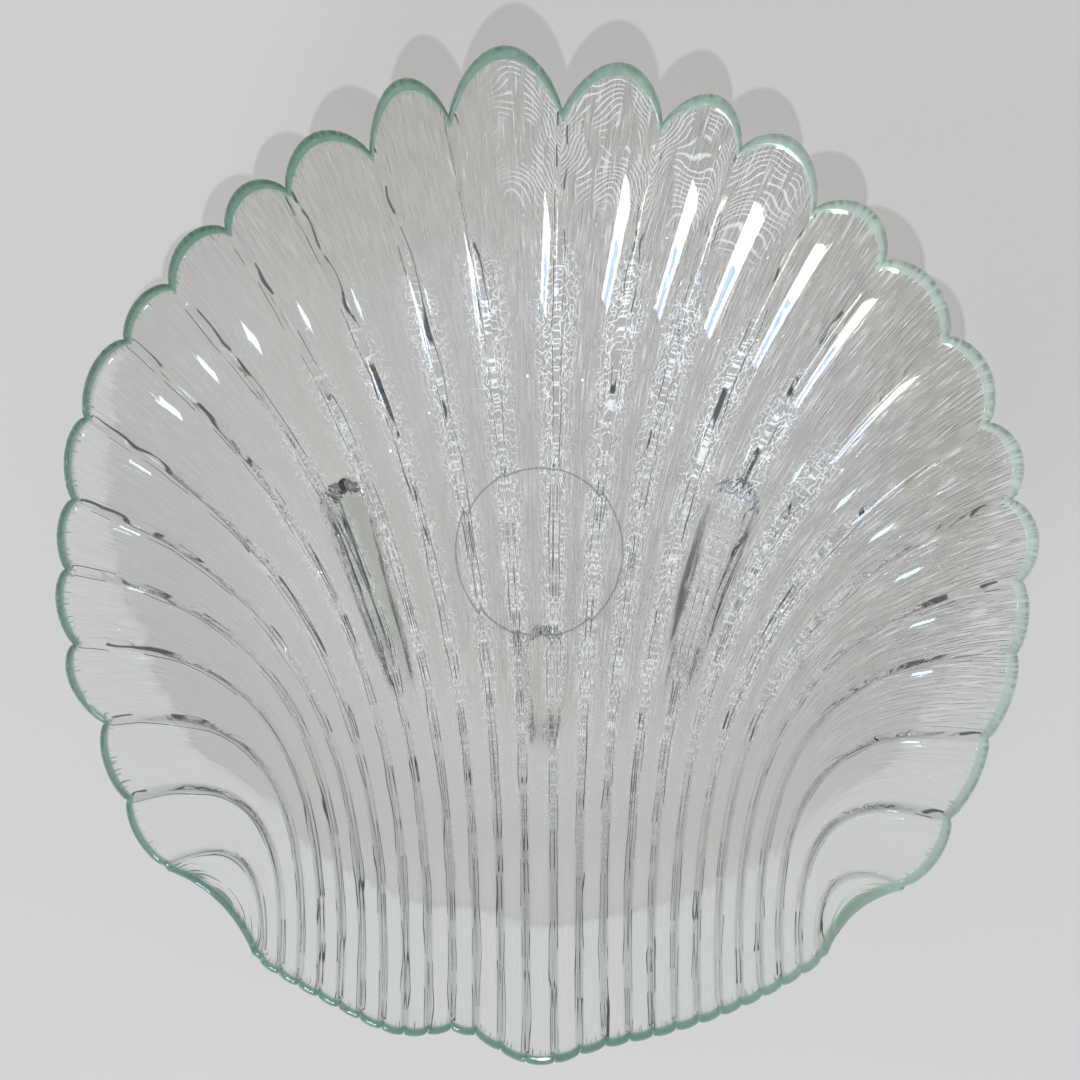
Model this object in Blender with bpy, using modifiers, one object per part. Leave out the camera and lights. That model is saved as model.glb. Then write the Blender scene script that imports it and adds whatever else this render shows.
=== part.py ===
"""Footed shell bowl, pressed in clear glass as one piece.

Units are millimetres and degrees in the named sizes, and metres in the model.
The bowl stands on the plane z = 0. Its base centre is on the z axis, the fan of
the shell points to +Y and the narrow hinge of the shell to -Y.
"""

import math

import bmesh
import bpy
from mathutils import Matrix, Vector

MM = 0.001

# Overall form of the underside, which the flutes ripple
RIM_RADIUS = 154.9
RIM_HEIGHT = 77.0
FOOT_HEIGHT = 8.0
FLOOR_RADIUS = 52.0
WALL_CURVE = 1.6
WALL = 4.8

# Rim, rounded over this reach down to this share of the wall
RIM_ROUNDING = 1.6
RIM_FLAT_SHARE = 0.4

# Fan: the notches of the rim from its middle outwards, as angles from +Y and
# depths inside the rim circle, and the reach of the round lobe after each notch
LEFT_NOTCH_ANGLES = (11.8, 23.0, 34.9, 44.1, 54.1, 62.8, 73.4, 83.4, 91.9, 101.0, 111.3, 120.9, 129.6)
LEFT_NOTCH_DEPTHS = (15.5, 18.5, 16.0, 14.0, 12.5, 10.0, 8.0, 9.0, 8.0, 8.0, 10.0, 6.5, 4.0)
LEFT_LOBES = (15.0, 11.0, 7.5, 6.5, 4.6, 5.0, 4.5, 3.6, 4.0, 5.6, 3.7, 3.1)
RIGHT_NOTCH_ANGLES = (2.9, 15.9, 26.4, 38.6, 49.7, 62.1, 73.8, 83.5, 93.3, 101.9, 112.5, 122.9, 132.1)
RIGHT_NOTCH_DEPTHS = (16.5, 15.5, 14.0, 17.0, 14.0, 11.5, 10.0, 8.0, 6.0, 5.0, 5.5, 4.5, 2.5)
RIGHT_LOBES = (15.0, 11.8, 11.3, 9.1, 7.1, 6.8, 6.5, 6.2, 3.0, 3.2, 2.9, 3.5)
TOP_LOBE = 18.2
LOBE_LEAN = 4.0
LOBE_ROUNDNESS = 1.5
LOBE_START = 0.68

# Flutes: depth as a share of their width, and how narrow the ridges between are
FLUTE_DEPTH_RATIO = 0.13
RIDGE_SHARPNESS = 3.0

# Hinge edge, where all ridges start: its circle, and the waves on that circle,
# of which the first is the boss in its middle
HINGE_RADIUS = 151.9
HINGE_WAVE_MIDDLES = (0.0, -24.0, -47.0)
HINGE_WAVE_REACHES = (4.0, -3.4, 1.6)
HINGE_WAVE_WIDTHS = (13.0, 10.0, 12.0)
HINGE_LOBE = 1.3
HINGE_FIRST = 4.3
HINGE_PITCH = 8.0
HINGE_PITCH_LOSS = 0.1

# How far each ridge runs straight before it turns to its notch, as shares of
# its length along Y: at the middle of the fan, and the change towards the ears
STRAIGHT_RUN = 0.62
STRAIGHT_RUN_CHANGE = -0.52
STRAIGHT_RUN_GROWTH = 1.32

# Ears, the two crescents beside the hinge
EAR_END_WIDTH = 2.5
EAR_DIP = 3.3

# Feet: the middles of their wide and narrow ends, the radii of those ends, and
# how much wider they are where they meet the floor
SIDE_FOOT_WIDE_END = (64.0, 15.0)
SIDE_FOOT_NARROW_END = (48.0, -38.0)
HINGE_FOOT_WIDE_END = (1.0, -34.0)
HINGE_FOOT_NARROW_END = (1.0, -60.0)
FOOT_WIDE_RADIUS = 6.5
FOOT_NARROW_RADIUS = 3.0
FOOT_DRAFT = 1.2

# Round pad of the mould under the floor
PAD_RADIUS = 28.0
PAD_DROP = 0.5

# Fineness of the mesh, and the edge angle above which it is shaded sharp
FLUTE_STEPS = 6
ROWS = 16
ROUND_STEPS = 16
PAD_STEPS = 48
SHARP_ANGLE = 62.0

GLASS_COLOUR = (0.78, 0.84, 0.81, 1.0)
GLASS_ROUGHNESS = 0.03
GLASS_IOR = 1.52


def clear_scene():
    for obj in list(bpy.data.objects):
        bpy.data.objects.remove(obj, do_unlink=True)


def glass_material():
    material = bpy.data.materials.new("clear_glass")
    material.use_nodes = True
    shader = material.node_tree.nodes["Principled BSDF"]
    shader.inputs["Base Color"].default_value = GLASS_COLOUR
    shader.inputs["Roughness"].default_value = GLASS_ROUGHNESS
    shader.inputs["Metallic"].default_value = 0.0
    shader.inputs["IOR"].default_value = GLASS_IOR
    shader.inputs["Transmission Weight"].default_value = 1.0
    return material


def underside_height(x, y):
    """Height of the unrippled underside above the table."""
    run = (math.hypot(x, y) - FLOOR_RADIUS) / (RIM_RADIUS - FLOOR_RADIUS)
    return FOOT_HEIGHT + (RIM_HEIGHT - FOOT_HEIGHT) * max(run, 0.0) ** WALL_CURVE


def hinge_point(x):
    """Point of the hinge edge at x."""
    shapes = zip(HINGE_WAVE_MIDDLES, HINGE_WAVE_REACHES, HINGE_WAVE_WIDTHS)
    waves = sum(reach * math.exp(-((x - middle) / width) ** 2) for middle, reach, width in shapes)
    return Vector((x, -math.sqrt(HINGE_RADIUS ** 2 - x * x) - waves))


def ridge(side, index, angle, depth):
    """Ridge as the three control points of a quadratic curve from hinge to rim."""
    start = hinge_point(side * (HINGE_FIRST + HINGE_PITCH * index - HINGE_PITCH_LOSS * index * index))
    radius = RIM_RADIUS - depth
    end = Vector((side * radius * math.sin(math.radians(angle)), radius * math.cos(math.radians(angle))))
    share = index / (len(LEFT_NOTCH_ANGLES) - 1)
    run = STRAIGHT_RUN + STRAIGHT_RUN_CHANGE * share + STRAIGHT_RUN_GROWTH * share * share
    turn = start + Vector((0.0, run * (end.y - start.y)))
    return start, turn, end


def side_ridges(side, angles, depths):
    """Ridges of one side of the fan, from its middle outwards."""
    return [ridge(side, index, angle, depth) for index, (angle, depth) in enumerate(zip(angles, depths))]


def ear_edge(side, outer_ridge):
    """Free edge of an ear, a shallow curve just outside the outermost ridge."""
    start = hinge_point(outer_ridge[0].x + side * EAR_END_WIDTH)
    end = outer_ridge[2] + (start - outer_ridge[2]).normalized() * EAR_END_WIDTH
    middle = (start + end) / 2
    turn = middle - middle.normalized() * 2 * EAR_DIP
    return start, turn, end


def shell_ridges():
    """All ridges from the left ear's edge to the right ear's edge."""
    left = side_ridges(-1, LEFT_NOTCH_ANGLES, LEFT_NOTCH_DEPTHS)
    right = side_ridges(1, RIGHT_NOTCH_ANGLES, RIGHT_NOTCH_DEPTHS)
    return [ear_edge(-1, left[-1])] + left[::-1] + right + [ear_edge(1, right[-1])]


def along(curve, t):
    start, turn, end = curve
    return start * (1 - t) ** 2 + turn * 2 * t * (1 - t) + end * t * t


def lobe_reaches():
    """Reach of each flute's rounded end past its two notches, ear to ear."""
    return (0.0,) + LEFT_LOBES[::-1] + (TOP_LOBE,) + RIGHT_LOBES + (0.0,)


def smooth_step(x):
    x = min(max(x, 0.0), 1.0)
    return x * x * (3 - 2 * x)


def ridge_height(ridges, index, t):
    """Height of a ridge over the flutes beside it, after the narrower of the two."""
    nearby = [along(curve, t) for curve in ridges[max(index - 1, 0):index + 2]]
    return FLUTE_DEPTH_RATIO * min((b - a).length for a, b in zip(nearby, nearby[1:]))


def flute_point(ridges, flute, turn, t):
    """Plan position on a flute, and how far its ripple lifts the wall there.

    turn runs from 0 at one ridge to pi at the next, t from hinge to rim.
    """
    first, second = ridges[flute], ridges[flute + 1]
    across = (1 - math.cos(turn)) / 2
    point = along(first, t).lerp(along(second, t), across)
    outward = ((first[2] - first[1]).normalized() + (second[2] - second[1]).normalized()).normalized()
    outward.rotate(Matrix.Rotation(-math.radians(LOBE_LEAN), 2))
    lobe = lobe_reaches()[flute]
    point += outward * lobe * smooth_step((t - LOBE_START) / (1 - LOBE_START)) * math.sin(turn) ** LOBE_ROUNDNESS
    if lobe > 0:
        point.y -= HINGE_LOBE * math.sin(turn) * (1 - smooth_step(t / (1 - LOBE_START)))
    ridges_height = ridge_height(ridges, flute, t) * (1 - across) + ridge_height(ridges, flute + 1, t) * across
    return point, ridges_height * abs(math.cos(turn)) ** RIDGE_SHARPNESS


def row_place(row, curve):
    """Place of a row along a flute: even, but for the close first and last rows."""
    if row in (0, ROWS):
        return row / ROWS
    close = RIM_ROUNDING / (curve[2] - curve[0]).length
    return close + (1 - 2 * close) * (row - 1) / (ROWS - 2)


def shell_grid():
    """Open grid bent to the middle of the unrippled wall.

    Also gives for each of its points the ripple's lift and the share of the wall there.
    """
    ridges = shell_ridges()
    flutes = len(ridges) - 1
    columns = flutes * FLUTE_STEPS
    bm = bmesh.new()
    bmesh.ops.create_grid(bm, x_segments=columns, y_segments=ROWS, size=0.5)
    ripples = []
    shares = []
    for vert in bm.verts:
        column = round((vert.co.x + 0.5) * columns)
        row = round((vert.co.y + 0.5) * ROWS)
        flute = min(column // FLUTE_STEPS, flutes - 1)
        turn = math.pi * (column - flute * FLUTE_STEPS) / FLUTE_STEPS
        point, ripple = flute_point(ridges, flute, turn, row_place(row, ridges[flute]))
        at_edge = row in (0, ROWS) or column in (0, columns)
        ripples.append(ripple)
        shares.append(RIM_FLAT_SHARE if at_edge else 1.0)
        vert.co = Vector((point.x, point.y, underside_height(point.x, point.y) + WALL / 2)) * MM
    return bm, ripples, shares


def make_object(name, bm, collection):
    mesh = bpy.data.meshes.new(name)
    bm.to_mesh(mesh)
    bm.free()
    obj = bpy.data.objects.new(name, mesh)
    collection.objects.link(obj)
    return obj


def weight_points(obj, name, weights):
    group = obj.vertex_groups.new(name=name)
    for index, weight in enumerate(weights):
        group.add([index], weight, "REPLACE")
    return group.name


def make_shell(collection, material):
    """The shell's middle surface, thickened to its wall and rippled into flutes."""
    bm, ripples, shares = shell_grid()
    shell = make_object("shell_bowl", bm, collection)
    shell.data.materials.append(material)
    deepest = max(ripples)

    wall = shell.modifiers.new("wall", "SOLIDIFY")
    wall.thickness = WALL * MM
    wall.offset = 0.0
    wall.vertex_group = weight_points(shell, "rounded_rim", shares)
    press = shell.modifiers.new("flutes", "DISPLACE")
    press.direction = "Z"
    press.vertex_group = weight_points(shell, "ripple", [ripple / deepest for ripple in ripples])
    press.mid_level = 0.0
    press.strength = deepest * MM
    return shell


def make_helper(name, bm, collection):
    helper = make_object(name, bm, collection)
    helper.hide_render = True
    helper.display_type = "WIRE"
    return helper


def add_boolean(obj, helper, operation):
    boolean = obj.modifiers.new(helper.name, "BOOLEAN")
    boolean.operation = operation
    boolean.solver = "EXACT"
    boolean.object = helper


def make_space_above(collection):
    """Block over the middle of the rippled wall, which ends the feet inside the wall."""
    bm, ripples, _ = shell_grid()
    for vert, ripple in zip(list(bm.verts), ripples):
        vert.co.z += ripple * MM
    sides = bmesh.ops.extrude_face_region(bm, geom=bm.faces[:])
    raised = [item for item in sides["geom"] if isinstance(item, bmesh.types.BMVert)]
    bmesh.ops.translate(bm, verts=raised, vec=(0.0, 0.0, RIM_HEIGHT * MM))
    bmesh.ops.recalc_face_normals(bm, faces=bm.faces)
    return make_helper("space_above", bm, collection)


def make_foot(name, wide_end, narrow_end, space_above, collection):
    """Teardrop foot round a wide and a narrow end, reaching up into the wall."""
    top = max(underside_height(*wide_end), underside_height(*narrow_end)) + 2 * WALL
    bm = bmesh.new()
    for centre, radius in ((wide_end, FOOT_WIDE_RADIUS), (narrow_end, FOOT_NARROW_RADIUS)):
        for level in (0.0, top):
            spread = FOOT_DRAFT * level / FOOT_HEIGHT
            ring = bmesh.ops.create_circle(bm, segments=ROUND_STEPS, radius=(radius + spread) * MM)["verts"]
            bmesh.ops.translate(bm, verts=ring, vec=Vector((centre[0], centre[1], level)) * MM)
    hull = bmesh.ops.convex_hull(bm, input=bm.verts)
    bmesh.ops.delete(bm, geom=hull["geom_interior"] + hull["geom_unused"], context="VERTS")
    foot = make_helper(name, bm, collection)
    add_boolean(foot, space_above, "DIFFERENCE")
    return foot


def mirrored(point):
    return -point[0], point[1]


def make_pad(collection):
    """Round pad that the mould leaves under the floor."""
    bm = bmesh.new()
    top = FOOT_HEIGHT + WALL / 2
    bottom = FOOT_HEIGHT - PAD_DROP
    bmesh.ops.create_cone(
        bm, cap_ends=True, segments=PAD_STEPS, depth=(top - bottom) * MM,
        radius1=PAD_RADIUS * MM, radius2=PAD_RADIUS * MM)
    bmesh.ops.translate(bm, verts=bm.verts, vec=(0.0, 0.0, (top + bottom) / 2 * MM))
    return make_helper("mould_pad", bm, collection)


def main():
    clear_scene()
    parts = bpy.data.collections.new("footed_shell_bowl")
    helpers = bpy.data.collections.new("fused_forms")
    bpy.context.scene.collection.children.link(parts)
    bpy.context.scene.collection.children.link(helpers)

    shell = make_shell(parts, glass_material())
    space_above = make_space_above(helpers)
    feet = {
        "left_foot": (mirrored(SIDE_FOOT_WIDE_END), mirrored(SIDE_FOOT_NARROW_END)),
        "right_foot": (SIDE_FOOT_WIDE_END, SIDE_FOOT_NARROW_END),
        "hinge_foot": (HINGE_FOOT_WIDE_END, HINGE_FOOT_NARROW_END),
    }
    for name, (wide_end, narrow_end) in feet.items():
        add_boolean(shell, make_foot(name, wide_end, narrow_end, space_above, helpers), "UNION")
    add_boolean(shell, make_pad(helpers), "UNION")
    shell.data.shade_smooth()
    shell.data.set_sharp_from_angle(angle=math.radians(SHARP_ANGLE))


main()
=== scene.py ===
"""Looks of the footed shell bowl: clear pressed glass on a pale table, seen from above."""

import math

import bpy
import numpy as np
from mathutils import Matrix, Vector


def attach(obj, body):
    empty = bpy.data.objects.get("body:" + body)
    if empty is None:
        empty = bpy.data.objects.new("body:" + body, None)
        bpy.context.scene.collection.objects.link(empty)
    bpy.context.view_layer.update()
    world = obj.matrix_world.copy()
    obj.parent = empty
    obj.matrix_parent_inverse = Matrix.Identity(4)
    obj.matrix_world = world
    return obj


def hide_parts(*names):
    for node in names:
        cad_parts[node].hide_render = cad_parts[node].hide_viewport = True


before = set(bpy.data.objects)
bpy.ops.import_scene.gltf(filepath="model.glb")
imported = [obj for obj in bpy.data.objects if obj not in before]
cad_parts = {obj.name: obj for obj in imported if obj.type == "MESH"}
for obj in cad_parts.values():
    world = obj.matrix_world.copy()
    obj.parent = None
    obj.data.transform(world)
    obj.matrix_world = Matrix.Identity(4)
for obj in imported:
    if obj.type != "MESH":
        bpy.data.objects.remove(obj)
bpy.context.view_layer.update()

MM = 0.001

# Overall form of the underside, millimetres, as in the model
RIM_RADIUS = 154.9
RIM_HEIGHT = 77.0
FOOT_HEIGHT = 8.0
FLOOR_RADIUS = 52.0
WALL_CURVE = 1.6
WALL = 4.8

# Fan: angles and depths of the notches, and reaches of the lobes after them
LEFT_NOTCH_ANGLES = (11.8, 23.0, 34.9, 44.1, 54.1, 62.8, 73.4, 83.4, 91.9, 101.0, 111.3, 120.9, 129.6)
LEFT_NOTCH_DEPTHS = (15.5, 18.5, 16.0, 14.0, 12.5, 10.0, 8.0, 9.0, 8.0, 8.0, 10.0, 6.5, 4.0)
LEFT_LOBES = (15.0, 11.0, 7.5, 6.5, 4.6, 5.0, 4.5, 3.6, 4.0, 5.6, 3.7, 3.1)
RIGHT_NOTCH_ANGLES = (2.9, 15.9, 26.4, 38.6, 49.7, 62.1, 73.8, 83.5, 93.3, 101.9, 112.5, 122.9, 132.1)
RIGHT_NOTCH_DEPTHS = (16.5, 15.5, 14.0, 17.0, 14.0, 11.5, 10.0, 8.0, 6.0, 5.0, 5.5, 4.5, 2.5)
RIGHT_LOBES = (15.0, 11.8, 11.3, 9.1, 7.1, 6.8, 6.5, 6.2, 3.0, 3.2, 2.9, 3.5)
TOP_LOBE = 18.2
LOBE_LEAN = 4.0
LOBE_ROUNDNESS = 1.5
LOBE_START = 0.68

# Hinge edge and its waves, pitch of the ridges, their straight run from it, and free edges of the ears
HINGE_RADIUS = 151.9
HINGE_WAVE_MIDDLES = (0.0, -24.0, -47.0)
HINGE_WAVE_REACHES = (4.0, -3.4, 1.6)
HINGE_WAVE_WIDTHS = (13.0, 10.0, 12.0)
HINGE_LOBE = 1.3
HINGE_FIRST = 4.3
HINGE_PITCH = 8.0
HINGE_PITCH_LOSS = 0.1
STRAIGHT_RUN = 0.62
STRAIGHT_RUN_CHANGE = -0.52
STRAIGHT_RUN_GROWTH = 1.32
EAR_END_WIDTH = 2.5
EAR_DIP = 3.3

# Feet: wide end's centre and radius, narrow end's centre and radius; then the width of their flanks
RIGHT_FOOT = ((64.0, 15.0), 6.5, (48.0, -38.0), 3.0)
LEFT_FOOT = ((-64.0, 15.0), 6.5, (-48.0, -38.0), 3.0)
HINGE_FOOT = ((1.0, -34.0), 6.5, (1.0, -60.0), 3.0)
FOOT_FLANK = 2.2
# Shares of a foot's length between which it runs out into the wall
FOOT_TAIL = (0.75, 1.25)
# Flanks of the feet painted black as shade: their ends, and half their width; then that of their soft edge
SHADED_FLANKS = (
    ((57.0, 17.0), (43.5, -31.0), 2.1),
    ((-71.0, 20.0), (-52.5, -36.0), 0.8),
    ((-57.0, 12.0), (-44.5, -36.0), 0.9),
)
FLANK_SHADE_BLUR = 0.6

# Round pad of the mould under the floor
PAD_RADIUS = 28.0
PAD_DROP = 0.5
PAD_EDGE = 1.6

# Section of the flutes: depth as a share of width, the share of it that is plainly round, and how sharply
# the rest rises at the ridges
FLUTE_DEPTH_RATIO = 0.13
ROUND_SHARE = 0.7
RIDGE_POWER = 6

# Pressed bark on the underside: period across and along, depth, and how much finer its fine part is
BARK_PERIOD = (2.6, 34.0)
BARK_DEPTH = 0.22
FINE_BARK = 2.3
FINE_SHARE = 0.35
# Broken grooves along the ridges: depth, period, reach as a share of a flute, and where noise breaks them
GROOVE_DEPTH = 0.25
GROOVE_PERIOD = 14.0
GROOVE_REACH = 0.07
GROOVE_BREAKS = (0.3, 0.3)
BARK_SEED, FINE_SEED, GROOVE_SEED = 1, 2, 3
NOISE_SIZE = 256

# Map of the flow along the flutes, millimetres: least width of a flute in it, the share of its true width
# that is added, the pitch of the flutes, and the length of a unit of the map
FLOW_WIDTH = 10.0
FLOW_STRETCH = 0.5
FLOW_PITCH = 60.0
FLOW_UNIT = 100.0

# Zones of the relief and of the painted highlights and shade, millimetres: a start, and the run over which
# it grows or ends. Crinkles end outwards, the calm sides and the sides lined with painted dark lines end
# and the right side grows towards +X, the low and hinge zones grow towards the hinge, and the top zone and
# the zone of wavy painted reflections towards the lobes
CRINKLE_END = (80.0, 38.0)
CALM_END = (-70.0, 90.0)
LINED_END = (-50.0, 110.0)
RIGHT_ZONE = (30.0, 50.0)
LOW_ZONE = (30.0, 50.0)
TOP_ZONE = (70.0, 30.0)
HINGE_ZONE = (55.0, 35.0)
HINGE_WALL = (92.0, 14.0)
WAVY_ZONE = (105.0, 15.0)
# Degrees: middle of the lobes with wavy painted reflections, and where and how softly they end beside it
WAVY_AZIMUTH = 74.0
WAVY_SIDES = (18.0, 8.0)
# Steepness as what a wall's normal loses of its upward part
STEEP_TILT = (0.0, 0.25)

# How strongly the crinkles keep to the ridges, and how much of the relief and of the painted dark lines is
# lost or kept in the zones
CRINKLE_POWER = 1.3
CRINKLE_LOSS_LEFT = 0.5
CRINKLE_LOSS_LOW = 0.6
BARK_LOSS_LEFT = 0.65
BARK_LOSS_LOW = 0.8
BARK_TOP = 0.7
LINED_LOW = 0.7
LINED_LOSS_RIGHT = 1.6
# How much painted light whitens the wall at the hinge, where the lit table beyond the bowl's shadow shows
# through
HINGE_PAINTED_LIGHT = 0.42

# Green rim band seen from above: azimuths in degrees from +X, its widths, and its paleness there as painted
# light and shade, paler where lit on the bowl's right
RIM_AZIMUTHS = (0.0, 45.0, 90.0, 135.0, 160.0, 200.0, 230.0, 250.0, 270.0, 300.0, 330.0, 360.0)
RIM_WIDTHS = (3.8, 4.0, 4.3, 3.6, 2.6, 2.4, 2.2, 2.4, 2.6, 2.6, 3.2, 3.8)
RIM_LIT_PALENESS = (0.9, 0.7, 0.12, 0.0, 0.1, 0.1, 0.0, -0.1, -0.1, 0.2, 0.6, 0.9)

# Fineness of the glass mesh and its fire-polished edge
FLUTE_STEPS = 14
INNER_ROWS = 108
EDGE_ROWS = 6
EDGE_RADIUS = WALL / 2
EDGE_REACH = -0.3
SAMPLE_ROWS = 240
SAMPLE_MARGIN = 0.1

# Camera over the table, millimetres; its view in degrees is as wide as the photograph's
CAMERA_HEIGHT = 880.0
CAMERA_Y = 4.0
VIEW_ANGLE = 23.4
# Metres
CLIP_START = 0.01

# Table: its width in metres, and its gap under the feet in millimetres
TABLE_COLOUR = (0.628, 0.618, 0.608, 1.0)
TABLE_ROUGHNESS = 0.5
TABLE_WIDTH = 6.0
TABLE_GAP = 0.1


def smooth_step(x):
    """Smooth rise from 0 at 0 to 1 at 1."""
    x = np.clip(x, 0.0, 1.0)
    return x * x * (3 - 2 * x)


def grown(value, start, run):
    """Smooth rise from 0 where the value is at the start to 1 where it is a run further on."""
    return smooth_step((value - start) / run)


def value_noise(across, along, seed):
    """Smooth noise, 0 to 1, with one random value for each whole step across and along."""
    table = np.random.default_rng(seed).random((NOISE_SIZE, NOISE_SIZE))
    column, row = np.floor(across).astype(int), np.floor(along).astype(int)
    blend_x, blend_y = smooth_step(across - column), smooth_step(along - row)
    left, right = column % NOISE_SIZE, (column + 1) % NOISE_SIZE
    below, above = row % NOISE_SIZE, (row + 1) % NOISE_SIZE
    near = table[left, below] * (1 - blend_x) + table[right, below] * blend_x
    far = table[left, above] * (1 - blend_x) + table[right, above] * blend_x
    return near * (1 - blend_y) + far * blend_y


def underside(points):
    """Height of the unrippled underside, and its normal, at plan points."""
    radius = np.hypot(points[..., 0], points[..., 1])
    run = np.maximum((radius - FLOOR_RADIUS) / (RIM_RADIUS - FLOOR_RADIUS), 0.0)
    rise = RIM_HEIGHT - FOOT_HEIGHT
    height = FOOT_HEIGHT + rise * run ** WALL_CURVE
    slope = rise * WALL_CURVE * run ** (WALL_CURVE - 1) / (RIM_RADIUS - FLOOR_RADIUS)
    outward = points / np.maximum(radius, 1e-6)[..., None]
    normal = np.concatenate([-slope[..., None] * outward, np.ones(radius.shape + (1,))], axis=-1)
    normal /= np.linalg.norm(normal, axis=-1, keepdims=True)
    return height, normal


def hinge_point(x):
    """Point of the wavy hinge edge at x."""
    shapes = zip(HINGE_WAVE_MIDDLES, HINGE_WAVE_REACHES, HINGE_WAVE_WIDTHS)
    waves = sum(reach * math.exp(-((x - middle) / width) ** 2) for middle, reach, width in shapes)
    return np.array((x, -math.sqrt(HINGE_RADIUS ** 2 - x * x) - waves))


def ridge(side, index, angle, depth):
    """Ridge as the three control points of a quadratic curve from hinge to rim."""
    angle = math.radians(angle)
    start = hinge_point(side * (HINGE_FIRST + HINGE_PITCH * index - HINGE_PITCH_LOSS * index * index))
    end = (RIM_RADIUS - depth) * np.array((side * math.sin(angle), math.cos(angle)))
    share = index / (len(LEFT_NOTCH_ANGLES) - 1)
    run = STRAIGHT_RUN + STRAIGHT_RUN_CHANGE * share + STRAIGHT_RUN_GROWTH * share * share
    return np.array((start, start + (0.0, run * (end[1] - start[1])), end))


def ear_edge(side, outer_ridge):
    """Free edge of an ear, just outside the outermost ridge."""
    start = hinge_point(outer_ridge[0][0] + side * EAR_END_WIDTH)
    back = start - outer_ridge[2]
    end = outer_ridge[2] + back / np.linalg.norm(back) * EAR_END_WIDTH
    middle = (start + end) / 2
    return np.array((start, middle - middle / np.linalg.norm(middle) * 2 * EAR_DIP, end))


def side_ridges(side, angles, depths):
    """Ridges of one side, from the middle outwards."""
    return [ridge(side, index, angle, depth) for index, (angle, depth) in enumerate(zip(angles, depths))]


def shell_ridges():
    """All ridges from left to right, with the free edges of the ears as the first and the last."""
    left = side_ridges(-1, LEFT_NOTCH_ANGLES, LEFT_NOTCH_DEPTHS)
    right = side_ridges(1, RIGHT_NOTCH_ANGLES, RIGHT_NOTCH_DEPTHS)
    return np.array([ear_edge(-1, left[-1])] + left[::-1] + right + [ear_edge(1, right[-1])])


def along(curves, t):
    """Points at t on the curves, one curve for each column of t."""
    t = t[..., None]
    start, middle, end = curves[..., 0, :], curves[..., 1, :], curves[..., 2, :]
    return start * (1 - t) ** 2 + middle * 2 * t * (1 - t) + end * t * t


def column_places():
    """Across each flute, closer near its ridges: the flute and the share across for each column."""
    share = np.arange(FLUTE_STEPS) / FLUTE_STEPS
    across = (share + (1 - np.cos(math.pi * share)) / 2) / 2
    flute = np.append(np.repeat(np.arange(FLUTES), FLUTE_STEPS), FLUTES - 1)
    return flute, np.append(np.tile(across, FLUTES), 1.0)


RIDGES = shell_ridges()
FLUTES = len(RIDGES) - 1
LOBES = np.array((0.0,) + LEFT_LOBES[::-1] + (TOP_LOBE,) + RIGHT_LOBES + (0.0,))
FLUTE, ACROSS = column_places()
BULGE = np.sqrt(np.maximum(1 - (1 - 2 * ACROSS) ** 2, 0.0))
RIDGE_NEAR = np.abs(1 - 2 * ACROSS)


def gap(index, t):
    """Distance between ridge index and the next, at t."""
    index = np.clip(index, 0, FLUTES - 1)
    return np.linalg.norm(along(RIDGES[index + 1], t) - along(RIDGES[index], t), axis=-1)


def flute_points(t):
    """Plan positions of the grid of columns at t, and their widths and ripple heights."""
    first, second = RIDGES[FLUTE], RIDGES[FLUTE + 1]
    blend = ACROSS[:, None]
    points = along(first, t) * (1 - blend) + along(second, t) * blend
    ends = np.stack([first[:, 2] - first[:, 1], second[:, 2] - second[:, 1]])
    ends /= np.linalg.norm(ends, axis=-1, keepdims=True)
    outward = ends.sum(axis=0)
    outward /= np.linalg.norm(outward, axis=-1, keepdims=True)
    lean = -math.radians(LOBE_LEAN)
    turn = np.array(((math.cos(lean), math.sin(lean)), (-math.sin(lean), math.cos(lean))))
    outward = outward @ turn
    lobe = LOBES[FLUTE] * BULGE ** LOBE_ROUNDNESS
    points = points + outward * (lobe * smooth_step((t - LOBE_START) / (1 - LOBE_START)))[..., None]
    scallop = HINGE_LOBE * BULGE * (LOBES[FLUTE] > 0)
    points[..., 1] -= scallop * (1 - smooth_step(t / (1 - LOBE_START)))
    width = gap(FLUTE, t)
    low = np.minimum(gap(FLUTE - 1, t), width)
    high = np.minimum(gap(FLUTE + 1, t), width)
    height = FLUTE_DEPTH_RATIO * (low * (1 - ACROSS) + high * ACROSS)
    return points, width, height


def edge_rows(length):
    """Distances of the rows from a column's start: close at its round ends, even between."""
    turns = np.arange(EDGE_ROWS + 1) / EDGE_ROWS * math.pi / 2
    ends = EDGE_RADIUS * (1 - np.cos(turns))
    middle = np.linspace(EDGE_RADIUS, length - EDGE_RADIUS, INNER_ROWS + 1)[1:-1]
    return np.concatenate([ends, middle, length - ends[::-1]])


def row_parameters():
    """t of each row and column, so that rows are spaced by true length along the glass."""
    samples = np.linspace(-SAMPLE_MARGIN, 1 + SAMPLE_MARGIN, SAMPLE_ROWS)
    grid = np.repeat(samples[:, None], len(FLUTE), axis=1)
    points, _, _ = flute_points(grid)
    height, _ = underside(points)
    steps = np.diff(np.concatenate([points, height[..., None]], axis=-1), axis=0)
    lengths = np.concatenate([np.zeros((1, len(FLUTE))), np.linalg.norm(steps, axis=-1).cumsum(axis=0)])
    parameters = []
    distances = []
    for column in range(len(FLUTE)):
        start = np.interp(0.0, samples, lengths[:, column]) - EDGE_REACH
        end = np.interp(1.0, samples, lengths[:, column]) + EDGE_REACH
        rows = edge_rows(end - start)
        parameters.append(np.interp(start + rows, lengths[:, column], samples))
        distances.append(rows)
    return np.array(parameters).T, np.array(distances).T


def round_edge(distance):
    """Half thickness, as a share, at a distance from a round edge."""
    inside = np.clip(1 - distance / EDGE_RADIUS, 0.0, 1.0)
    return np.sqrt(1 - inside * inside)


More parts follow.
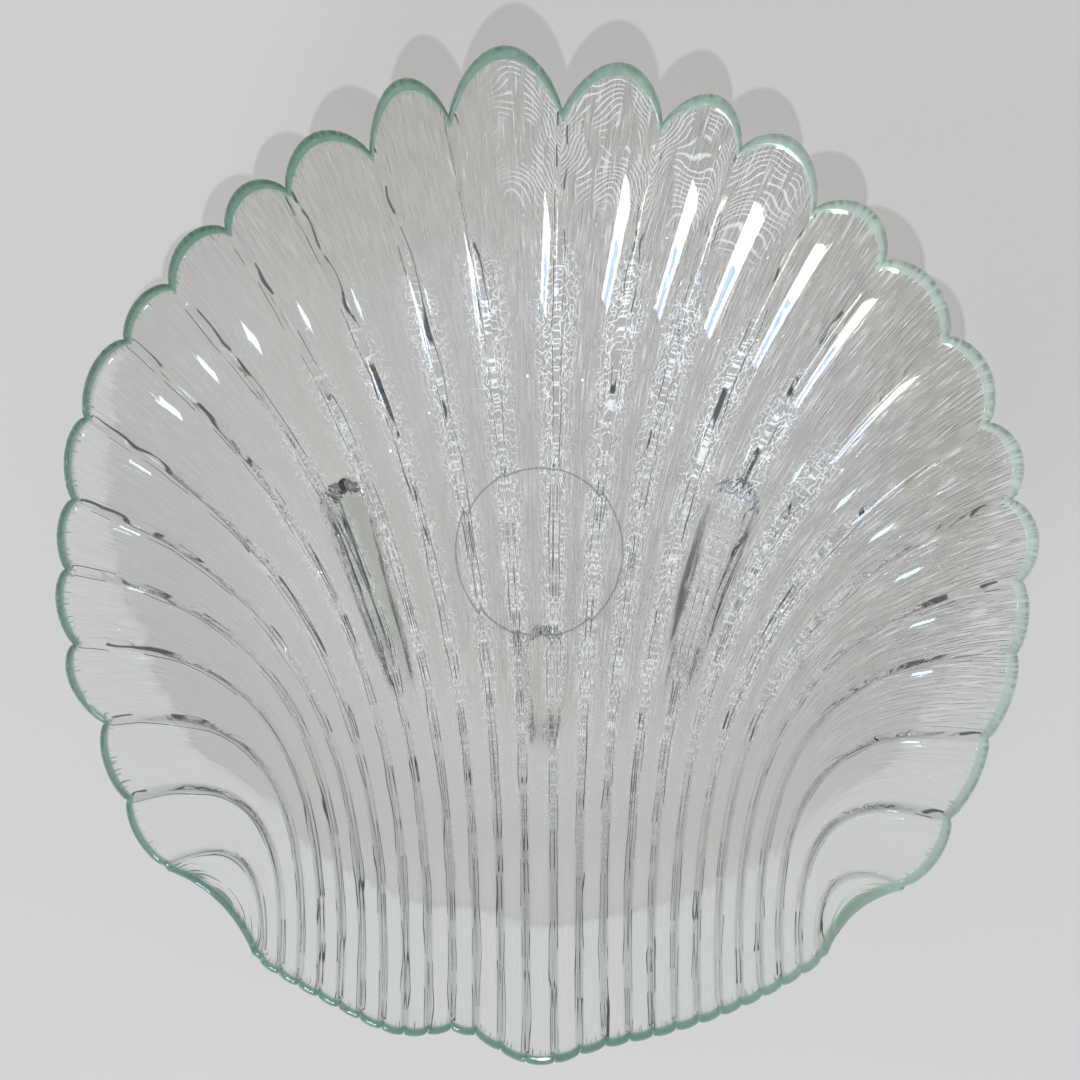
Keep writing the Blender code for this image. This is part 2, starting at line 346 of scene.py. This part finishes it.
def foot_share(points, foot):
    """How far a point of the underside belongs to a foot, 0 to 1."""
    wide, wide_radius, narrow, narrow_radius = foot
    start, axis = np.array(wide), np.array(narrow) - np.array(wide)
    place = (points - start) @ axis / (axis @ axis)
    share = np.clip(place, 0.0, FOOT_TAIL[1])
    nearest = start + share[..., None] * axis
    radius = wide_radius + share * (narrow_radius - wide_radius)
    distance = np.linalg.norm(points - nearest, axis=-1) - radius
    tail = 1 - grown(place, FOOT_TAIL[0], FOOT_TAIL[1] - FOOT_TAIL[0])
    return (1 - smooth_step(distance / FOOT_FLANK)) * tail


def shaded_flank(points, start, end, half_width):
    """1 on the painted black shade of a foot's flank, tapered to its ends, and 0 off it."""
    start, axis = np.array(start), np.array(end) - np.array(start)
    place = np.clip((points - start) @ axis / (axis @ axis), 0.0, 1.0)
    distance = np.linalg.norm(points - start - place[..., None] * axis, axis=-1)
    reach = half_width * np.sin(math.pi * place) ** 0.5
    return smooth_step((reach - distance) / FLANK_SHADE_BLUR + 0.5)


def bark_relief(flow, distance, edge):
    """How deep the pressed bark lies in the underside, millimetres."""
    across, lengthwise = flow / BARK_PERIOD[0], distance / BARK_PERIOD[1]
    streak = value_noise(across, lengthwise, BARK_SEED)
    fine = value_noise(across * FINE_BARK, lengthwise * FINE_BARK, FINE_SEED)
    relief = BARK_DEPTH * ((1 - FINE_SHARE) * streak + FINE_SHARE * fine)
    ridge_number = FLUTE + (ACROSS > 0.5) + np.zeros_like(distance)
    broken = grown(value_noise(ridge_number, distance / GROOVE_PERIOD, GROOVE_SEED), *GROOVE_BREAKS)
    groove = GROOVE_DEPTH * broken * np.exp(-((1 - RIDGE_NEAR) / GROOVE_REACH) ** 2)
    return (relief + groove) * grown(edge, EDGE_RADIUS, EDGE_RADIUS)


def surface_marks(points, normal, width, edge):
    """What the glass materials need at each point, by name."""
    x, y = points[..., 0], points[..., 1]
    radius = np.hypot(x, y)
    azimuth = np.degrees(np.arctan2(y, x)) % 360
    middle = 1 - grown(radius, *CRINKLE_END)
    left = 1 - grown(x, *CALM_END)
    right = grown(x, *RIGHT_ZONE)
    low = grown(-y, *LOW_ZONE)
    top = grown(y, *TOP_ZONE)
    wave_reflection_zone = grown(radius, *WAVY_ZONE) * (1 - grown(np.abs(azimuth - WAVY_AZIMUTH), *WAVY_SIDES))
    hinge = (grown(-y, *HINGE_ZONE) + grown(-y, *HINGE_WALL)) / 2
    crinkled = (1 - CRINKLE_LOSS_LEFT * left) * (1 - CRINKLE_LOSS_LOW * low)
    barked = (1 - BARK_LOSS_LEFT * left) * (1 - BARK_LOSS_LOW * low)
    lined = LINED_LOW * low * (1 - LINED_LOSS_RIGHT * right)
    return {
        "edge_mm": edge,
        "rim_mm": np.interp(azimuth, RIM_AZIMUTHS, RIM_WIDTHS),
        "rim_lit_pale": np.interp(azimuth, RIM_AZIMUTHS, RIM_LIT_PALENESS),
        "ridge_mm": (1 - RIDGE_NEAR) * width / 2,
        "pad_mm": radius - PAD_RADIUS,
        "crinkle": RIDGE_NEAR ** CRINKLE_POWER * middle * crinkled,
        "wave_reflection_zone": wave_reflection_zone,
        "bark": np.maximum(barked, BARK_TOP * top),
        "lined": np.maximum(1 - grown(x, *LINED_END), lined),
        "low": low,
        "flank_shade": np.max([shaded_flank(points, *flank) for flank in SHADED_FLANKS], axis=0),
        "wedge": foot_share(points, LEFT_FOOT),
        # Painted light on the wall at the hinge
        "painted_pale": HINGE_PAINTED_LIGHT * hinge * (1 - RIDGE_NEAR ** 2),
        "steep": grown(1 - normal[..., 2], *STEEP_TILT),
    }


def shell_skins():
    """Outer and inner skin as grids of points, with their places in the flow and the marks."""
    t, distance = row_parameters()
    points, width, depth = flute_points(t)
    height, normal = underside(points)
    middle = np.concatenate([points, height[..., None] + WALL / 2], axis=-1)
    rim_distance = np.minimum(distance, distance[-1] - distance)
    side_share = np.where(FLUTE == 0, ACROSS, np.where(FLUTE == FLUTES - 1, 1 - ACROSS, np.inf))
    edge = np.minimum(rim_distance, np.where(np.isfinite(side_share), side_share * width, np.inf))
    half = WALL / 2 * round_edge(edge)

    profile = ROUND_SHARE * RIDGE_NEAR ** 2 + (1 - ROUND_SHARE) * RIDGE_NEAR ** RIDGE_POWER
    middle[..., 2] += depth * profile
    inner = middle + normal * half[..., None]
    flow = (ACROSS - 0.5) * (FLOW_STRETCH * width + FLOW_WIDTH)
    relief = bark_relief(flow + FLUTE * FLOW_PITCH, distance, edge)
    outer = middle - normal * (half - relief)[..., None]

    radius = np.hypot(outer[..., 0], outer[..., 1])
    pad = 1 - grown(radius, PAD_RADIUS, PAD_EDGE)
    outer[..., 2] += (FOOT_HEIGHT - PAD_DROP - outer[..., 2]) * pad
    for foot in (RIGHT_FOOT, LEFT_FOOT, HINGE_FOOT):
        outer[..., 2] *= 1 - foot_share(outer[..., :2], foot)
    return outer, inner, flow, distance, surface_marks(outer[..., :2], normal, width, edge)


def quads(index, upward):
    """Faces of a grid of vertices, with their front up or down."""
    a, b, c, d = index[:-1, :-1], index[:-1, 1:], index[1:, 1:], index[1:, :-1]
    order = (a, b, c, d) if upward else (a, d, c, b)
    return np.stack([corner.ravel() for corner in order], axis=-1)


def flow_map(flow, distance):
    """Place in the flow of each corner of a skin's faces, which jumps from flute to flute."""
    rows, columns = distance.shape
    cell_row, cell_column = np.divmod(np.arange((rows - 1) * (columns - 1)), columns - 1)
    corners = []
    for down, right in ((0, 0), (0, 1), (1, 1), (1, 0)):
        row, column = cell_row + down, cell_column + right
        place = np.stack([flow[row, column], distance[row, column]], axis=-1)
        wraps = (column % FLUTE_STEPS == 0) & (right == 1) & (column < columns - 1)
        place[wraps, 0] *= -1
        place[:, 0] += FLUTE[cell_column] * FLOW_PITCH
        corners.append(place)
    return np.stack(corners, axis=1) / FLOW_UNIT


def shell_mesh(materials):
    """Closed mesh of both skins, joined at their round edges, with a material for each."""
    outer, inner, flow, distance, marks = shell_skins()
    rows, columns = distance.shape
    core = (slice(1, -1), slice(1, -1))
    outer_index = np.arange(rows * columns).reshape(rows, columns)
    inner_index = outer_index.copy()
    inner_count = (rows - 2) * (columns - 2)
    inner_index[core] = (outer_index.size + np.arange(inner_count)).reshape(rows - 2, columns - 2)
    vertices = np.concatenate([outer.reshape(-1, 3), inner[core].reshape(-1, 3)]) * MM
    faces = np.concatenate([quads(outer_index, False), quads(inner_index, True)])
    mesh = bpy.data.meshes.new("shell_glass")
    mesh.from_pydata(vertices.tolist(), [], faces.tolist())
    for material in materials:
        mesh.materials.append(material)
    is_inner = np.arange(len(faces)) >= len(faces) // 2
    mesh.polygons.foreach_set("material_index", is_inner.astype(np.int32))
    mesh.update()

    corners = flow_map(flow, distance)
    layer = mesh.uv_layers.new(name="flow")
    layer.uv.foreach_set("vector", np.concatenate([corners[:, (0, 3, 2, 1)], corners]).ravel())
    for name, values in marks.items():
        values = np.concatenate([values.ravel(), values[core].ravel()])
        attribute = mesh.attributes.new(name, "FLOAT", "POINT")
        attribute.data.foreach_set("value", values.astype(np.float32))
    mesh.shade_smooth()
    return mesh


class Nodes:
    """Short way to add and link shader nodes."""

    def __init__(self, tree):
        self.tree = tree
        tree.nodes.clear()

    def add(self, kind, inputs=None, **settings):
        node = self.tree.nodes.new(kind)
        for name, value in settings.items():
            setattr(node, name, value)
        for name, value in (inputs or {}).items():
            if isinstance(value, bpy.types.NodeSocket):
                self.tree.links.new(value, node.inputs[name])
            else:
                node.inputs[name].default_value = value
        return node

    def maths(self, operation, first, second=0.0, third=0.0):
        values = {0: first, 1: second, 2: third}
        return self.add("ShaderNodeMath", values, operation=operation).outputs[0]

    def times(self, first, second):
        return self.maths("MULTIPLY", first, second)

    def larger(self, first, second):
        return self.maths("MAXIMUM", first, second)

    def distance(self, value, target):
        """How far a value is from a target."""
        return self.maths("ABSOLUTE", self.maths("SUBTRACT", value, target))

    def mix(self, share, first, second):
        """Colour from first at share 0 to second at share 1."""
        colours = {"Factor": share, "A": first, "B": second}
        return self.add("ShaderNodeMix", colours, data_type="RGBA").outputs["Result"]

    def ramp(self, value, low, high, start=0.0, end=1.0):
        """From start below low to end above high, smooth between."""
        limits = {"Value": value, "From Min": low, "From Max": high, "To Min": start, "To Max": end}
        return self.add("ShaderNodeMapRange", limits, interpolation_type="SMOOTHSTEP").outputs["Result"]

    def attribute(self, name):
        """A mark of the mesh's points."""
        return self.add("ShaderNodeAttribute", attribute_name=name).outputs["Fac"]

    def noise(self, flow, period, detail, offset):
        """Flat noise with a period across and along the flow, millimetres."""
        scale = (FLOW_UNIT / period[0], FLOW_UNIT / period[1], 1.0)
        inputs = {"Vector": flow, "Scale": scale, "Location": (offset, offset, 0.0)}
        place = self.add("ShaderNodeMapping", inputs)
        settings = {"Vector": place.outputs[0], "Scale": 1.0, "Detail": detail, "Roughness": 0.5}
        return self.add("ShaderNodeTexNoise", settings, noise_dimensions="2D").outputs["Fac"]

    def choose(self, share, first, second):
        """First shader at share 0, second at share 1."""
        shaders = {0: share, 1: first.outputs[0], 2: second.outputs[0]}
        return self.add("ShaderNodeMixShader", shaders)

    def finish(self, shader, kind="ShaderNodeOutputMaterial"):
        """Send a shader to the output of its material or world."""
        output = self.add(kind)
        self.tree.links.new(shader.outputs[0], output.inputs["Surface"])


def new_material(name):
    """Empty material, and its nodes."""
    material = bpy.data.materials.new(name)
    material.use_nodes = True
    return material, Nodes(material.node_tree)


# What the outer skin leaves of the lamp's light and of the room's, where it is flat and where steep
LAMP_SHADE = ((0.78, 0.765, 0.745, 1.0), (0.46, 0.445, 0.425, 1.0))
ROOM_SHADE = ((0.87, 0.87, 0.855, 1.0), (0.85, 0.855, 0.84, 1.0))
OUTER_SHADE = (LAMP_SHADE, ROOM_SHADE)
# The inner skin leaves all of it
UNSHADED = ((1.0, 1.0, 1.0, 1.0), (1.0, 1.0, 1.0, 1.0))
INNER_SHADE = (UNSHADED, UNSHADED)

GLASS_INDEX = 1.5
RIM_GREEN = (0.16, 0.31, 0.235, 1.0)
# Pale green that the rim's painted light mixes in where the band is lit
RIM_LIT_PALE = (0.64, 0.75, 0.68, 1.0)
GLASS_CLEAR = (0.955, 0.963, 0.95, 1.0)
# Grey of the painted shade in the hollows of the bark's streaks
GLASS_HOLLOW_SHADE = (0.66, 0.68, 0.67, 1.0)
# White of the painted highlights and painted light
GLASS_HIGHLIGHT = (0.96, 0.98, 1.0, 1.0)
# Black of the painted shade in lines, the pad's circle and the feet's flanks
GLASS_PAINTED_SHADE = (0.06, 0.07, 0.065, 1.0)
GLASS_BAND = (0.40, 0.48, 0.42, 1.0)

# Noises along the flow: period across and along in millimetres, detail and offset
STREAK_NOISE = ((0.75, 14.0), 1.0, 3.0)
NET_NOISE = ((1.7, 2.6), 0.0, 7.0)
SWIRL_NOISE = ((9.0, 16.0), 0.0, 11.0)
BROKEN_NOISE = ((5.0, 24.0), 1.0, 17.0)

# Ramps: from one value to another, and the shares at both where they aren't 0 and 1
FALLING = (0.0, 1.0, 1.0, 0.0)
RIM_EDGE = (-0.5, 0.5, 1.0, 0.0)
RIM_STREAKS = (0.35, 0.7, -0.15, 0.2)
INNER_RIM_CLEAR = (0.0, 1.0, 1.0, 0.45)
GLINTS = (0.74, 0.84, 0.04, 0.5)
CRINKLE_GLINT_WIRE = (0.03, 0.09, 1.9, 0.0)
WAVE_REFLECTION_LINES = (0.3, 0.95, 0.0, 0.7)
WAVE_BREAKS = (0.3, 0.5)
SHADE_LINE = (0.07, 0.22, 1.0, 0.0)
LINE_BREAKS = (0.56, 0.6)
PAD_CIRCLE = (0.1, 0.6, 0.7, 0.0)
FLANK_BREAKS = (0.3, 0.42)
STREAK_RIDGES = (0.36, 0.62)
HOLLOW_SHADE = (0.3, 0.7, 1.0, 0.0)
RIDGE_BAND = (0.3, 1.7, 0.8, 0.0)

# Millimetres by which the rim's edge wanders with the streaks, and by which it is set back inside
RIM_RAGGEDNESS = 12.0
INNER_RIM_SETBACK = 1.2
# Where the noises cross this level they draw thin lines
NOISE_MIDDLE = 0.5
# Wavy lines of painted reflection: radians to a millimetre from the edge, and by which the swirl shifts
# them
WAVE_PITCH = 2.2
WAVE_SWIRL = 30.0
# Dark lines of painted shade: place beside the ridge in millimetres, wandering, and how much likelier where
# lined
LINE_PLACE = -0.45
LINE_WANDER = -2.4
LINED_GAIN = 0.17
# How much likelier glints are on strong bark, and how grey-green the left foot's wedge is
GLINT_GAIN = 0.1
WEDGE_BAND = 0.5
# Bump of the relief: its height in metres, and shares of the streaks and of the crinkles in it
BUMP_HEIGHT = 0.0006
STREAK_BUMP = 0.3
CRINKLE_BUMP = 1.4
# How much each kind of mark clouds the glass, the painted highlights and shade among them
WHITE_CLOUD = 0.8
RIM_CLOUD = 0.7
DARK_CLOUD = 0.5
BAND_CLOUD = 0.2


def finish_glass(nodes, colour, transmission, shade, normal=None):
    """Clear glass, which the light of the lamp and of the room goes straight through.

    shade holds the tints of both lights where the glass is flat, and where it is steep.
    """
    inputs = {"Base Color": colour, "Transmission Weight": transmission}
    inputs |= {"Roughness": 0.0, "IOR": GLASS_INDEX}
    if normal is not None:
        inputs["Normal"] = normal
    surface = nodes.add("ShaderNodeBsdfPrincipled", inputs)
    path = nodes.add("ShaderNodeLightPath")
    steep = nodes.attribute("steep")
    tints = [nodes.mix(steep, *pair) for pair in shade]
    lamp_shade, room_shade = [nodes.add("ShaderNodeBsdfTransparent", {"Color": tint}) for tint in tints]
    lamp_mix = nodes.choose(path.outputs["Is Shadow Ray"], surface, lamp_shade)
    nodes.finish(nodes.choose(path.outputs["Is Diffuse Ray"], lamp_mix, room_shade))


def rim_share(nodes, raggedness):
    """1 in the green rim band, 0 inside its ragged edge."""
    inward = nodes.maths("SUBTRACT", nodes.attribute("edge_mm"), nodes.attribute("rim_mm"))
    return nodes.ramp(nodes.maths("ADD", inward, raggedness), *RIM_EDGE)


def rim_green(nodes, streak):
    """Green of the rim, with painted light that makes it paler on the bowl's right, and fine streaks across
    the band.
    """
    painted_pale = nodes.maths("ADD", nodes.attribute("rim_lit_pale"), streak)
    return nodes.mix(painted_pale, RIM_GREEN, RIM_LIT_PALE)


def inside_glass():
    """Smooth glass of the bowl's inside, green where the rim is rounded."""
    material, nodes = new_material("smooth_glass")
    rim = rim_share(nodes, INNER_RIM_SETBACK)
    colour = nodes.mix(rim, GLASS_CLEAR, rim_green(nodes, 0.0))
    finish_glass(nodes, colour, nodes.ramp(rim, *INNER_RIM_CLEAR), INNER_SHADE)
    return material


def painted_wave_reflections(nodes, swirl, broken):
    """Painted reflections: wavy lines that follow the edge of the top lobes, with breaks."""
    shift = nodes.times(swirl, WAVE_SWIRL)
    phase = nodes.maths("MULTIPLY_ADD", nodes.attribute("edge_mm"), WAVE_PITCH, shift)
    wave = nodes.times(nodes.maths("SINE", phase), nodes.ramp(broken, *WAVE_BREAKS))
    return nodes.times(nodes.ramp(wave, *WAVE_REFLECTION_LINES), nodes.attribute("wave_reflection_zone"))


def painted_highlight_share(nodes, streak, net, lines):
    """Painted highlights where the pressed relief glitters white: glints on streaks and crinkles, wavy
    reflections, and painted light on the hinge wall.
    """
    bark = nodes.attribute("bark")
    bright = nodes.maths("MULTIPLY_ADD", bark, GLINT_GAIN, streak)
    glints = nodes.times(nodes.ramp(bright, *GLINTS), bark)
    crinkle_glint = nodes.ramp(nodes.distance(net, NOISE_MIDDLE), *CRINKLE_GLINT_WIRE)
    crinkles = nodes.times(crinkle_glint, nodes.attribute("crinkle"))
    glitter = nodes.larger(glints, nodes.larger(crinkles, lines))
    return nodes.maths("ADD", glitter, nodes.attribute("painted_pale"))


def painted_shade_share(nodes, broken, swirl):
    """Painted shade: thin broken dark lines beside the ridges, the pad's circle and the black flanks of the
    feet.
    """
    wandering = nodes.maths("MULTIPLY_ADD", broken, LINE_WANDER, nodes.attribute("ridge_mm"))
    line = nodes.ramp(nodes.distance(wandering, LINE_PLACE), *SHADE_LINE)
    likely = nodes.maths("MULTIPLY_ADD", nodes.attribute("lined"), LINED_GAIN, swirl)
    circle = nodes.ramp(nodes.distance(nodes.attribute("pad_mm"), 0.0), *PAD_CIRCLE)
    flank_shade = nodes.times(nodes.attribute("flank_shade"), nodes.ramp(broken, *FLANK_BREAKS))
    kept_line = nodes.times(line, nodes.ramp(likely, *LINE_BREAKS))
    return nodes.larger(kept_line, nodes.larger(circle, flank_shade))


def band_share(nodes):
    """Grey-green bands along the low ridges, and the wedge of the left foot."""
    band = nodes.times(nodes.ramp(nodes.attribute("ridge_mm"), *RIDGE_BAND), nodes.attribute("low"))
    return nodes.larger(band, nodes.times(nodes.attribute("wedge"), WEDGE_BAND))


def relief_bump(nodes, streak, net):
    """Normal of the pressed relief: streaks along the flutes and crinkles along the ridges."""
    barked = nodes.times(nodes.attribute("bark"), STREAK_BUMP)
    streaks = nodes.times(nodes.ramp(streak, *STREAK_RIDGES), barked)
    crinkles = nodes.times(net, nodes.attribute("crinkle"))
    height = nodes.maths("MULTIPLY_ADD", crinkles, CRINKLE_BUMP, streaks)
    bump = nodes.add("ShaderNodeBump", {"Strength": 1.0, "Distance": BUMP_HEIGHT, "Height": height})
    return bump.outputs[0]


def outside_glass():
    """Bark-like pressed glass of the bowl's underside."""
    material, nodes = new_material("pressed_glass")
    flow = nodes.add("ShaderNodeUVMap", uv_map="flow").outputs[0]
    streak = nodes.noise(flow, *STREAK_NOISE)
    net = nodes.noise(flow, *NET_NOISE)
    swirl = nodes.noise(flow, *SWIRL_NOISE)
    broken = nodes.noise(flow, *BROKEN_NOISE)

    ragged = nodes.maths("MULTIPLY_ADD", streak, -RIM_RAGGEDNESS, RIM_RAGGEDNESS * NOISE_MIDDLE)
    rim = rim_share(nodes, ragged)
    # Painted highlights, kept out of the rim band
    highlight = painted_highlight_share(nodes, streak, net, painted_wave_reflections(nodes, swirl, broken))
    highlight = nodes.times(highlight, nodes.ramp(rim, *FALLING))
    # Painted shade of the dark lines, the pad's circle and the feet's flanks
    painted_dark = painted_shade_share(nodes, broken, swirl)
    band = band_share(nodes)

    # Painted shade: the glass is greyer in the hollows of the bark's streaks, where the bark is strong
    shaded_hollow = nodes.times(nodes.attribute("bark"), nodes.ramp(streak, *HOLLOW_SHADE))
    colour = nodes.mix(shaded_hollow, GLASS_CLEAR, GLASS_HOLLOW_SHADE)
    colour = nodes.mix(band, colour, GLASS_BAND)
    colour = nodes.mix(rim, colour, rim_green(nodes, nodes.ramp(streak, *RIM_STREAKS)))
    colour = nodes.mix(highlight, colour, GLASS_HIGHLIGHT)
    colour = nodes.mix(painted_dark, colour, GLASS_PAINTED_SHADE)
    clouded = nodes.maths("MULTIPLY_ADD", highlight, WHITE_CLOUD, nodes.times(rim, RIM_CLOUD))
    clouded = nodes.maths("MULTIPLY_ADD", painted_dark, DARK_CLOUD, clouded)
    clouded = nodes.maths("MULTIPLY_ADD", band, BAND_CLOUD, clouded)
    clear = nodes.ramp(clouded, *FALLING)
    finish_glass(nodes, colour, clear, OUTER_SHADE, relief_bump(nodes, streak, net))
    return material


def make_bowl():
    """Glass of the bowl, in place of its plain solid."""
    bowl = bpy.data.objects.new("shell_glass", shell_mesh((outside_glass(), inside_glass())))
    bpy.context.scene.collection.objects.link(bowl)
    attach(bowl, "root")
    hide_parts("shell_bowl")


def table_material():
    """Pale, slightly shiny table."""
    material, nodes = new_material("pale_table")
    inputs = {"Base Color": TABLE_COLOUR, "Roughness": TABLE_ROUGHNESS}
    nodes.finish(nodes.add("ShaderNodeBsdfPrincipled", inputs))
    return material


def make_table():
    """Table under the feet."""
    bpy.ops.mesh.primitive_plane_add(size=TABLE_WIDTH, location=(0.0, 0.0, -TABLE_GAP * MM))
    table = bpy.context.object
    table.name = "table_top"
    table.data.materials.append(table_material())


def make_camera():
    """Camera straight above the bowl."""
    camera = bpy.data.cameras.new("camera")
    camera.sensor_fit = "HORIZONTAL"
    camera.angle = math.radians(VIEW_ANGLE)
    camera.clip_start = CLIP_START
    holder = bpy.data.objects.new("camera", camera)
    holder.location = (0.0, CAMERA_Y * MM, CAMERA_HEIGHT * MM)
    bpy.context.scene.collection.objects.link(holder)
    bpy.context.scene.camera = holder


# Ceiling lamp, which casts the shadow of the rim's lobes; its width is in degrees
LAMP_DIRECTION = (-0.03, -0.37, 1.0)
LAMP_ENERGY = 1.1
LAMP_COLOUR = (0.95, 1.0, 1.06)
LAMP_ANGLE = 1.2

# Window panes of the room: azimuths and elevations in degrees, and light
CREAM_LIGHT = (13.0, 12.4, 11.4)
BLUE_LIGHT = (1.0, 4.4, 12.2)
SKY_LIGHT = (9.0, 11.5, 13.5)
PANES = (
    ((234.0, 238.0), (15.0, 36.0), CREAM_LIGHT),
    ((238.0, 243.0), (15.0, 23.0), CREAM_LIGHT),
    ((243.0, 247.0), (15.0, 36.0), CREAM_LIGHT),
    ((238.0, 243.0), (23.0, 36.0), BLUE_LIGHT),
    ((326.0, 331.0), (17.0, 20.5), SKY_LIGHT),
    ((180.0, 184.0), (20.0, 24.0), SKY_LIGHT),
)
# Metres to the panes, and watts to a square metre of a pane whose light is 1
PANE_DISTANCE = 6.0
PANE_WATTS = 4.0
ROOM_LIGHT = (0.53, 0.52, 0.51, 1.0)


def add_light(name, kind, direction, colour):
    """Light that shines from a direction at the bowl."""
    light = bpy.data.lights.new(name, kind)
    light.color = colour
    holder = bpy.data.objects.new(name, light)
    holder.rotation_euler = direction.to_track_quat("Z", "Y").to_euler()
    bpy.context.scene.collection.objects.link(holder)
    return light, holder


def make_lamp():
    """Ceiling lamp."""
    lamp, _ = add_light("lamp", "SUN", Vector(LAMP_DIRECTION), LAMP_COLOUR)
    lamp.energy = LAMP_ENERGY
    lamp.angle = math.radians(LAMP_ANGLE)


def make_pane(azimuths, elevations, light):
    """Window pane as an area light that looks as bright as its light says."""
    azimuth = math.radians(sum(azimuths) / 2)
    elevation = math.radians(sum(elevations) / 2)
    level = math.cos(elevation)
    direction = Vector((level * math.cos(azimuth), level * math.sin(azimuth), math.sin(elevation)))
    pane, holder = add_light("window_pane", "AREA", direction, (1.0, 1.0, 1.0))
    holder.location = direction * PANE_DISTANCE
    holder.visible_camera = False
    pane.shape = "RECTANGLE"
    pane.size = PANE_DISTANCE * level * math.radians(azimuths[1] - azimuths[0])
    pane.size_y = PANE_DISTANCE * math.radians(elevations[1] - elevations[0])
    strongest = max(light)
    pane.color = [part / strongest for part in light]
    pane.energy = PANE_WATTS * pane.size * pane.size_y * strongest


def make_room():
    """World light: a plain pale room."""
    world = bpy.data.worlds.new("room")
    world.use_nodes = True
    nodes = Nodes(world.node_tree)
    nodes.finish(nodes.add("ShaderNodeBackground", {"Color": ROOM_LIGHT}), "ShaderNodeOutputWorld")
    bpy.context.scene.world = world


bpy.context.scene.view_settings.view_transform = "Standard"
make_bowl()
make_table()
make_camera()
make_lamp()
for pane in PANES:
    make_pane(*pane)
make_room()
